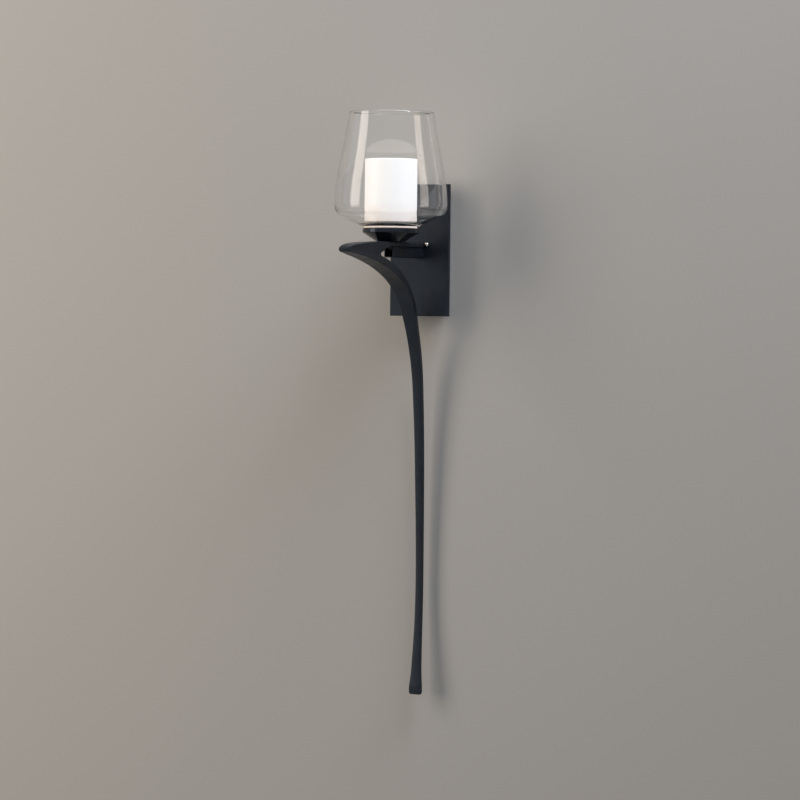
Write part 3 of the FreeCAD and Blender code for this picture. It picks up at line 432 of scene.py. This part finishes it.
# side outline as (distance from the wall, height): the crown from the strap's top round the
# tip and down the front to the foot, the heel round the foot, the spine up the back, and the
# crotch where the strap parts from the tail
bar = {
    "crown": [(130, 9.3), (150, 8.7), (172, 7.8), (192, 6.6), (208, 5), (218, 3.2), (224.4, 1),
              (226.9, -1.2), (225, -3.6), (217, -5.6), (204, -7.5), (189, -9.7), (174, -12.4),
              (157.2, -16), (140.1, -20.3), (123.1, -25.6), (105.9, -32.2), (90.3, -39.7),
              (78.5, -47.3), (68.8, -55.9), (60.9, -65.2), (55.1, -75.1), (49.8, -86.8),
              (43.7, -102.3), (36.4, -123), (29.7, -150), (24.9, -190), (21.7, -230),
              (18.9, -289), (17.1, -340), (16.1, -392), (16.2, -427), (17.1, -456), (19.1, -490),
              (21.6, -520), (23.4, -542), (24.5, -555)],
    "heel": [(24.5, -555), (24.1, -559.5), (21.2, -561.5), (18.2, -559.9), (17.5, -555)],
    "spine": [(17.5, -555), (16.9, -542), (15.2, -520), (12.7, -490), (10.6, -456), (9.8, -427),
              (10, -392), (11, -340), (12.6, -289), (15.2, -230), (18.3, -190), (23.2, -150),
              (29.8, -123), (36.8, -102), (42.3, -88), (47, -77), (52.6, -67.2), (60, -57.3),
              (69, -47.4), (79.4, -38), (91, -29.8), (105, -22.4), (122, -15.8), (137, -11.2),
              (147.6, -8.6)],
    "crotch": [(147.6, -8.6), (149.6, -7.4), (150.1, -6.4), (149, -5.4), (144.6, -3.6),
               (137.6, -1), (130.5, 1.6), (123, 3)],
    "flare": [(7.6, -563), (7.5, -555), (6.6, -542), (5.4, -522), (4.5, -492), (4, -456),
              (3.9, -427), (4, -392), (4.9, -289), (5.4, -229), (5.8, -191), (6.4, -153),
              (7.1, -123), (7.9, -97), (8.8, -83), (9.9, -67), (10.6, -56), (11, -46),
              (11.3, -35)],
    "beak": [(11.3, 157), (11, 175), (10.3, 192), (9, 208), (7.4, 221), (6.2, 229)],
    "root": [(6.75, 18.5), (11.2, 122)], "half": 11.2,
    "strapTop": 9.3, "strapLow": 3.0, "plateFace": 23.5,
    "strapFloor": 2.0, "topSplit": 152.0, "underSplit": 157.0,
    "edge": 1.0, "crownRise": 0.3,
    # the tail's faces stand this proud, and the strap's sides grow to it from 40 to 100
    "proud": 0.36, "proudBelow": -2.0, "proudFrom": 40.0, "proudOver": 60.0,
}


def barHalfWidth(loop):
    # half width: the tail by height, the horn's tip and the strap by distance from the wall
    d, z = loop[:, 0], loop[:, 1]
    flare = splineThrough(bar["flare"], 2.0, (-0.05, 1), (0, 1))
    beak = splineThrough(bar["beak"], 1.0, (0, 1), (-0.2, 1))
    tail = np.interp(z, flare[:, 1], flare[:, 0])
    tip = np.interp(d, beak[:, 1], beak[:, 0])
    root = np.interp(d, [p[1] for p in bar["root"]], [p[0] for p in bar["root"]])
    strap = (z > bar["strapFloor"]) & (d < bar["root"][-1][1])
    return np.where(strap, root, np.minimum(np.minimum(tail, bar["half"]), tip))


def barOutline():
    # the closed side outline, cut into runs that pair up across the bar
    face, top, low = bar["plateFace"], bar["strapTop"], bar["strapLow"]
    crown = splineThrough(bar["crown"], 0.5, (1, 0), (-0.1, -1))
    tip = int(np.argmax(crown[:, 0]))
    above = np.concatenate([[(face, top)], crown[:tip + 1]])
    below = crown[tip:]
    heel = splineThrough(bar["heel"], 0.25, (-0.1, -1), (0.1, 1))
    foot = int(np.argmin(heel[:, 1]))
    spine = splineThrough(bar["spine"], 0.5, (-0.1, 1), (1, 0.3))
    crotch = splineThrough(bar["crotch"], 0.2, (1, 0.4), (-1, 0))
    apex = int(np.argmax(crotch[:, 0]))
    part = int(np.argmin(np.abs(above[:, 0] - bar["topSplit"])))
    under = int(np.argmin(np.abs(below[:, 0] - bar["underSplit"])))
    shareStrap = np.concatenate([np.linspace(0, 0.8, 40), np.linspace(0.8, 1, 36)[1:]])
    shareHorn = 1 - (1 - np.linspace(0, 1, 60)) ** 1.6
    shareTail = np.linspace(0, 1, 360)
    runs = {
        "strapTop": resample(above[:part + 1], shareStrap),
        "hornTop": resample(above[part:], shareHorn),
        "hornLow": resample(below[:under + 1], 1 - shareHorn[::-1]),
        "tailFront": resample(np.concatenate([below[under:], heel[1:foot + 1]]), shareTail),
        "tailBack": resample(np.concatenate([heel[foot:], spine[1:], crotch[1:apex + 1]]),
                             shareTail),
        "strapLow": resample(np.concatenate([crotch[apex:], [(face, low)]]),
                             1 - shareStrap[::-1]),
    }
    return runs


def makeBar():
    # the outline is carried across the bar: each point moves in by a crown that grows with the
    # square of x, then round a quarter circle at the edge; the sides are bridged run to run
    runs = barOutline()
    names = ["strapTop", "hornTop", "hornLow", "tailFront", "tailBack", "strapLow"]
    pieces, starts, count = [], {}, 0
    for name in names:
        run = runs[name] if count == 0 else runs[name][1:]
        starts[name] = count if count == 0 else count - 1
        pieces.append(run)
        count += len(run)
    loop = np.concatenate(pieces)
    ahead = np.roll(loop, -1, axis=0) - loop
    behind = loop - np.roll(loop, 1, axis=0)
    ahead /= np.linalg.norm(ahead, axis=1)[:, None]
    behind /= np.linalg.norm(behind, axis=1)[:, None]
    way = ahead + behind
    way[0] = ahead[0]
    way[-1] = behind[-1]
    way /= np.linalg.norm(way, axis=1)[:, None]
    inward = np.stack([way[:, 1], -way[:, 0]], axis=1)  # right of the way round
    w = barHalfWidth(loop)[:, None]
    push = np.where(loop[:, 1] < bar["proudBelow"], bar["proud"], 0)[:, None]
    grown = np.clip((loop[:, :1] - bar["proudFrom"]) / bar["proudOver"], 0, 1)
    w = w + np.maximum(push, bar["proud"] * grown)
    loop = loop - inward * push
    r, rise = bar["edge"], bar["crownRise"]
    share = np.linspace(-1, 1, 13)[None, :]
    bend = np.linspace(0, np.pi / 2, 6)[1:][None, :]
    flatX = (w - r) * share
    flatIn = rise * (flatX / w) ** 2
    lip = rise * ((w - r) / w) ** 2
    edgeX = w - r + r * np.sin(bend)
    edgeIn = lip + r * (1 - np.cos(bend))
    x = np.concatenate([-edgeX[:, ::-1], flatX, edgeX], axis=1)
    inset = np.concatenate([edgeIn[:, ::-1], flatIn, edgeIn], axis=1)
    line = loop[:, None, :] + inward[:, None, :] * inset[:, :, None]
    points = np.stack([x, -line[:, :, 0], line[:, :, 1]], axis=-1)
    rows, cols = x.shape
    verts = [points.reshape(-1, 3)]
    faces = [gridFaces(rows, cols, wrapRows=True)]
    offset = rows * cols
    n = {name: len(runs[name]) for name in names}
    for column in (0, cols - 1):
        rim = points[:, column, :]
        strapTop = rim[starts["strapTop"]:starts["strapTop"] + n["strapTop"]]
        hornTop = rim[starts["hornTop"]:starts["hornTop"] + n["hornTop"]]
        hornLow = rim[starts["hornLow"]:starts["hornLow"] + n["hornLow"]][::-1]
        tailFront = rim[starts["tailFront"]:starts["tailFront"] + n["tailFront"]]
        tailBack = rim[starts["tailBack"]:starts["tailBack"] + n["tailBack"]][::-1]
        strapLow = rim[starts["strapLow"]:starts["strapLow"] + n["strapLow"]][::-1]
        blend = np.linspace(0, 1, len(hornTop))[:, None]
        hornMid = tailBack[0] * (1 - blend) + hornTop[-1] * blend
        for sides in ((strapTop, strapLow), (hornTop, hornMid, hornLow), (tailFront, tailBack)):
            grid = np.stack(sides)
            verts.append(grid.reshape(-1, 3))
            faces.append(gridFaces(grid.shape[0], grid.shape[1], offset=offset))
            offset += grid.shape[0] * grid.shape[1]
    piece = meshObject("forgedBar", np.concatenate(verts), np.concatenate(faces).tolist(),
                       "fixture", ("forged_bar",))
    tidyMesh(piece, 0.01)
    weigh = piece.modifiers.new("normals", "WEIGHTED_NORMAL")
    weigh.keep_sharp = True
    return dress(piece, "black_coat")


makeBar()
print("forged bar made")


plate = {"width": 82.0, "height": 166.0, "back": 18.5, "front": 23.5, "edge": 0.9}


def makePlate():
    # a slab as a grid of columns, so that its face carries its own light evenly
    half = np.array([plate["width"] / 2, plate["height"] / 2])
    across, tall = 9, 17
    x, z = np.meshgrid(np.linspace(-half[0], half[0], across), np.linspace(-half[1], half[1], tall),
                       indexing="ij")
    layers = [np.stack([x, np.full_like(x, -depth), z], axis=-1)
              for depth in (plate["back"], plate["front"])]
    points = np.stack(layers).reshape(-1, 3)
    size = across * tall
    faces = [gridFaces(across, tall), gridFaces(across, tall, offset=size)]
    index = np.arange(size).reshape(across, tall)
    rim = np.concatenate([index[:, 0], index[-1, 1:], index[-2::-1, -1], index[0, -2:0:-1]])
    on = np.roll(rim, -1)
    faces.append(np.stack([rim, on, on + size, rim + size], axis=1))
    piece = meshObject("wallPlate", points, np.concatenate(faces).tolist(), "fixture",
                       ("backplate",))
    tidyMesh(piece)
    finishEdges(piece, plate["edge"])
    return dress(piece, "plate")


channel = {"half": 6.35, "low": -10.3, "top": 3.0, "wall": 1.2, "back": 15.0, "front": 107.6,
           "corner": 1.3}


def makeChannel():
    # a U section carried straight from the pan to its open end
    c = channel
    inner = c["half"] - c["wall"]
    section = roundedLoop([(-c["half"], c["top"], 0), (-c["half"], c["low"], c["corner"]),
                           (c["half"], c["low"], c["corner"]), (c["half"], c["top"], 0),
                           (inner, c["top"], 0), (inner, c["low"] + c["wall"], 0.3),
                           (-inner, c["low"] + c["wall"], 0.3), (-inner, c["top"], 0)], 5)
    depth = np.linspace(c["back"], c["front"], 12)
    x = np.broadcast_to(section[:, 0][None, :], (len(depth), len(section)))
    z = np.broadcast_to(section[:, 1][None, :], x.shape)
    y = np.broadcast_to(-depth[:, None], x.shape)
    points = np.stack([x, y, z], axis=-1).reshape(-1, 3)
    faces = gridFaces(len(depth), len(section), wrapCols=True).tolist()
    last = len(points) - len(section)
    faces += [list(range(len(section))), list(range(last, len(points)))]
    piece = meshObject("wireChannel", points, faces, "fixture", ("wire_channel",))
    tidyMesh(piece, 0.001)
    finishEdges(piece, 0.25, 2)
    return dress(piece, "plate")


screwLook = {"spread": 10.7, "level": 7.3, "face": 23.5, "head": 2.9, "collar": 0.8,
             "shank": 1.95, "end": 0.2}


def makeCoverScrews():
    # profile (r, depth) of a dome on a short collar, turned about a line along Y
    s = screwLook
    bend = np.linspace(0, np.pi / 2, 14)
    dome = np.stack([s["head"] * np.sin(bend), s["face"] + s["collar"] + s["head"] * np.cos(bend)],
                    axis=1)
    profile = np.concatenate([dome, [(s["head"], s["face"]), (s["shank"], s["face"]),
                                     (s["shank"], s["end"]), (0, s["end"])]])
    turn = np.linspace(0, 2 * np.pi, 48, endpoint=False)
    verts, faces, offset = [], [], 0
    for side in (-1, 1):
        r = profile[:, 0][:, None]
        y = np.broadcast_to(-profile[:, 1][:, None], (len(profile), len(turn)))
        verts.append(np.stack([side * s["spread"] + r * np.cos(turn), y,
                               s["level"] + r * np.sin(turn)], axis=-1).reshape(-1, 3))
        faces.append(gridFaces(len(profile), len(turn), wrapCols=True, offset=offset))
        offset += len(profile) * len(turn)
    piece = meshObject("coverScrews", np.concatenate(verts), np.concatenate(faces).tolist(),
                       "fixture", ("cover_screws",))
    return dress(tidyMesh(piece), "nickel")


makePlate()
makeChannel()
makeCoverScrews()
print("plate, channel and screws made")


cup = {"hole": 4.2, "foot": 17.5, "low": 9.3, "floor": 11.3, "flare": 20.3, "rim": 34.8,
       "top": 25.8, "seat": 32.6, "ledge": 24.2}


def makeCup():
    c = cup
    loop = roundedLoop([
        (c["hole"], c["low"], 0), (c["foot"], c["low"], 1.2), (c["rim"], c["flare"], 1.4),
        (c["rim"], c["top"], 1.5), (c["seat"], c["top"], 0.3), (c["seat"], c["ledge"], 0),
        (c["seat"] - 2.1, c["ledge"], 0), (c["seat"] - 2.1, c["flare"] + 0.3, 0.5),
        (c["foot"] - 1.1, c["floor"], 1.0), (c["hole"], c["floor"], 0)])
    return dress(lathe("shadeCup", loop, "fixture", ("shade_cup",)), "cup")


gasket = {"inner": 29.5, "outer": 33.0, "low": 25.8, "top": 28.0}


def makeGasket():
    g = gasket
    loop = roundedLoop([(g["inner"], g["low"], 0.3), (g["outer"], g["low"], 0.8),
                        (g["outer"], g["top"], 0.8), (g["inner"], g["top"], 0.3)])
    return dress(lathe("lowerGasket", loop, "fixture", ("lower_gasket",)), "silicone")


shade = {
    "bell": [(52.4, 169.1), (59.2, 128.9), (67.5, 84.8), (70, 57.6), (69.2, 48.6), (66, 43.6),
             (60.5, 40.4)],
    "well": [(59.3, 43.2), (64, 46.2), (66.7, 50.4), (67.4, 57.6), (65, 84.5), (56.6, 128.5),
             (49.8, 169.1)],
    "foot": 35.6, "base": 28.0, "hole": 16.6, "floor": 33.0, "heel": 39.0,
    "lip": 1.3, "lipRise": 0.6,
}


def makeShade():
    # bell outside, then the cone to the flat foot, the bored floor and the well inside
    s = shade
    bell = splineThrough(s["bell"], 1.5)
    well = splineThrough(s["well"], 1.5)
    base = roundedLoop([(bell[-1][0], bell[-1][1], 0), (s["foot"], s["base"], 2.0),
                        (s["hole"], s["base"], 0.6), (s["hole"], s["floor"], 0.6),
                        (s["heel"], s["floor"], 3.0), (well[0][0], well[0][1], 0)], 7)
    middle = (bell[0] + well[-1]) / 2
    swing = np.linspace(0, np.pi, 9)[1:-1]
    lip = middle + np.stack([-s["lip"] * np.cos(swing), s["lipRise"] * (np.sin(swing) - 1)],
                            axis=1)
    loop = np.concatenate([bell[1:], base[1:-1], well[:-1], lip])
    return dress(lathe("bellShade", loop, "fixture", ("outer_glass",), 160),
                 "clear_glass")


inner = {"hole": 16.6, "low": 34.0, "floor": 37.5, "outer": 32.4, "wall": 3.0, "top": 111.2}


def makeInnerGlass():
    g = inner
    inside = g["outer"] - g["wall"]
    loop = roundedLoop([(g["hole"], g["low"], 0.5), (g["outer"], g["low"], 2.2),
                        (g["outer"], g["top"], 1.2), (inside, g["top"], 1.2),
                        (inside, g["floor"], 1.5), (g["hole"], g["floor"], 0.5)], 8)
    return dress(lathe("opalGlass", loop, "fixture", ("inner_glass",)), "opal_glass")


makeCup()
makeGasket()
makeShade()
makeInnerGlass()
print("lamp made")


def seenDirectly(tree):
    # 1 for rays of the camera, of gloss and through glass, 0 for the light on the object
    path = addNode(tree, "ShaderNodeLightPath").outputs
    seen = addNode(tree, "ShaderNodeMath", {0: path["Is Camera Ray"], 1: path["Is Glossy Ray"]},
                   operation="MAXIMUM").outputs[0]
    return addNode(tree, "ShaderNodeMath", {0: seen, 1: path["Is Transmission Ray"]},
                   operation="MAXIMUM").outputs[0]


def stageMaterial(name, color):
    # pale paint, seen directly from its front and open from behind
    material, tree, out = newMaterial(name)[:3]
    back = addNode(tree, "ShaderNodeNewGeometry").outputs["Backfacing"]
    seen = addNode(tree, "ShaderNodeMath", {0: seenDirectly(tree), 1: back},
                   operation="SUBTRACT", use_clamp=True).outputs[0]
    paint = addNode(tree, "ShaderNodeBsdfDiffuse", Color=hexColor(color))
    clear = addNode(tree, "ShaderNodeBsdfTransparent")
    mix = addNode(tree, "ShaderNodeMixShader", {0: seen, 1: clear.outputs[0],
                                                2: paint.outputs[0]})
    tree.links.new(mix.outputs[0], out.inputs["Surface"])
    return material


# metres; the wall stands a hair behind the lamp's own wall face
stage = {"reach": 9.0, "low": -0.9, "high": 6.0, "behind": 0.001, "backWall": "#cbc6bd",
         "floor": "#d0d0ce"}


def makeStage():
    far, low, high, back = stage["reach"], stage["low"], stage["high"], stage["behind"]
    panels = {"backWall": [(-far, back, low), (far, back, low), (far, back, high),
                           (-far, back, high)],
              "floor": [(-far, -far, low), (far, -far, low), (far, far, low), (-far, far, low)]}
    for name, corners in panels.items():
        mesh = bpy.data.meshes.new(name)
        mesh.from_pydata(corners, [], [(0, 1, 2, 3)])
        panel = bpy.data.objects.new(name, mesh)
        panel.data.materials.append(stageMaterial(name + "_paint", stage[name]))
        bpy.context.scene.collection.objects.link(panel)


# each lamp stands at an azimuth from the wall's normal, +X side first, and a height in metres
lamps = {
    "stripLeft": {"side": -50, "reach": 2.4, "height": 0.5, "size": (1.0, 2.7), "watts": 29,
                  "color": "#fff4e8"},
    "softRight": {"side": 84, "reach": 2.2, "height": 2.3, "size": (1.2, 0.9), "watts": 26,
                  "color": "#eef1fb"},
    "keyRight": {"side": 62, "reach": 1.5, "height": 2.2, "size": (1.3, 1.3), "watts": 44,
                 "color": "#dfe9ff"},
    "backTop": {"side": 170, "reach": 1.6, "height": 1.4, "size": (1.2, 1.2), "watts": 14,
                "color": "#ffffff"},
}
lampAim = (0, -0.08, -0.1)


def makeLamps():
    for name, lamp in lamps.items():
        side = math.radians(lamp["side"])
        data = bpy.data.lights.new(name, "AREA")
        data.shape = "RECTANGLE"
        data.size, data.size_y = lamp["size"]
        data.energy = lamp["watts"]
        data.color = hexColor(lamp["color"])[:3]
        light = bpy.data.objects.new(name, data)
        bpy.context.scene.collection.objects.link(light)
        light.location = (lamp["reach"] * math.sin(side), -lamp["reach"] * math.cos(side),
                          lamp["height"])
        light.rotation_mode = "QUATERNION"
        aim = Vector(lampAim) - light.location
        light.rotation_quaternion = aim.to_track_quat("-Z", "Y")


def makeWorld():
    # pale room for the camera, gloss and glass; a softer one for the light
    world = bpy.data.worlds.new("room")
    bpy.context.scene.world = world
    world.use_nodes = True
    tree = world.node_tree
    tree.nodes.clear()
    out = addNode(tree, "ShaderNodeOutputWorld")
    soft = addNode(tree, "ShaderNodeBackground", Color=hexColor("#e9ecf2"), Strength=0.25)
    pale = addNode(tree, "ShaderNodeBackground", Color=hexColor("#d6dae0"), Strength=1.0)
    mix = addNode(tree, "ShaderNodeMixShader", {0: seenDirectly(tree), 1: soft.outputs[0],
                                                2: pale.outputs[0]})
    tree.links.new(mix.outputs[0], out.inputs["Surface"])


makeStage()
makeLamps()
makeWorld()
bpy.context.scene.view_settings.view_transform = "Standard"
print("stage and light made")
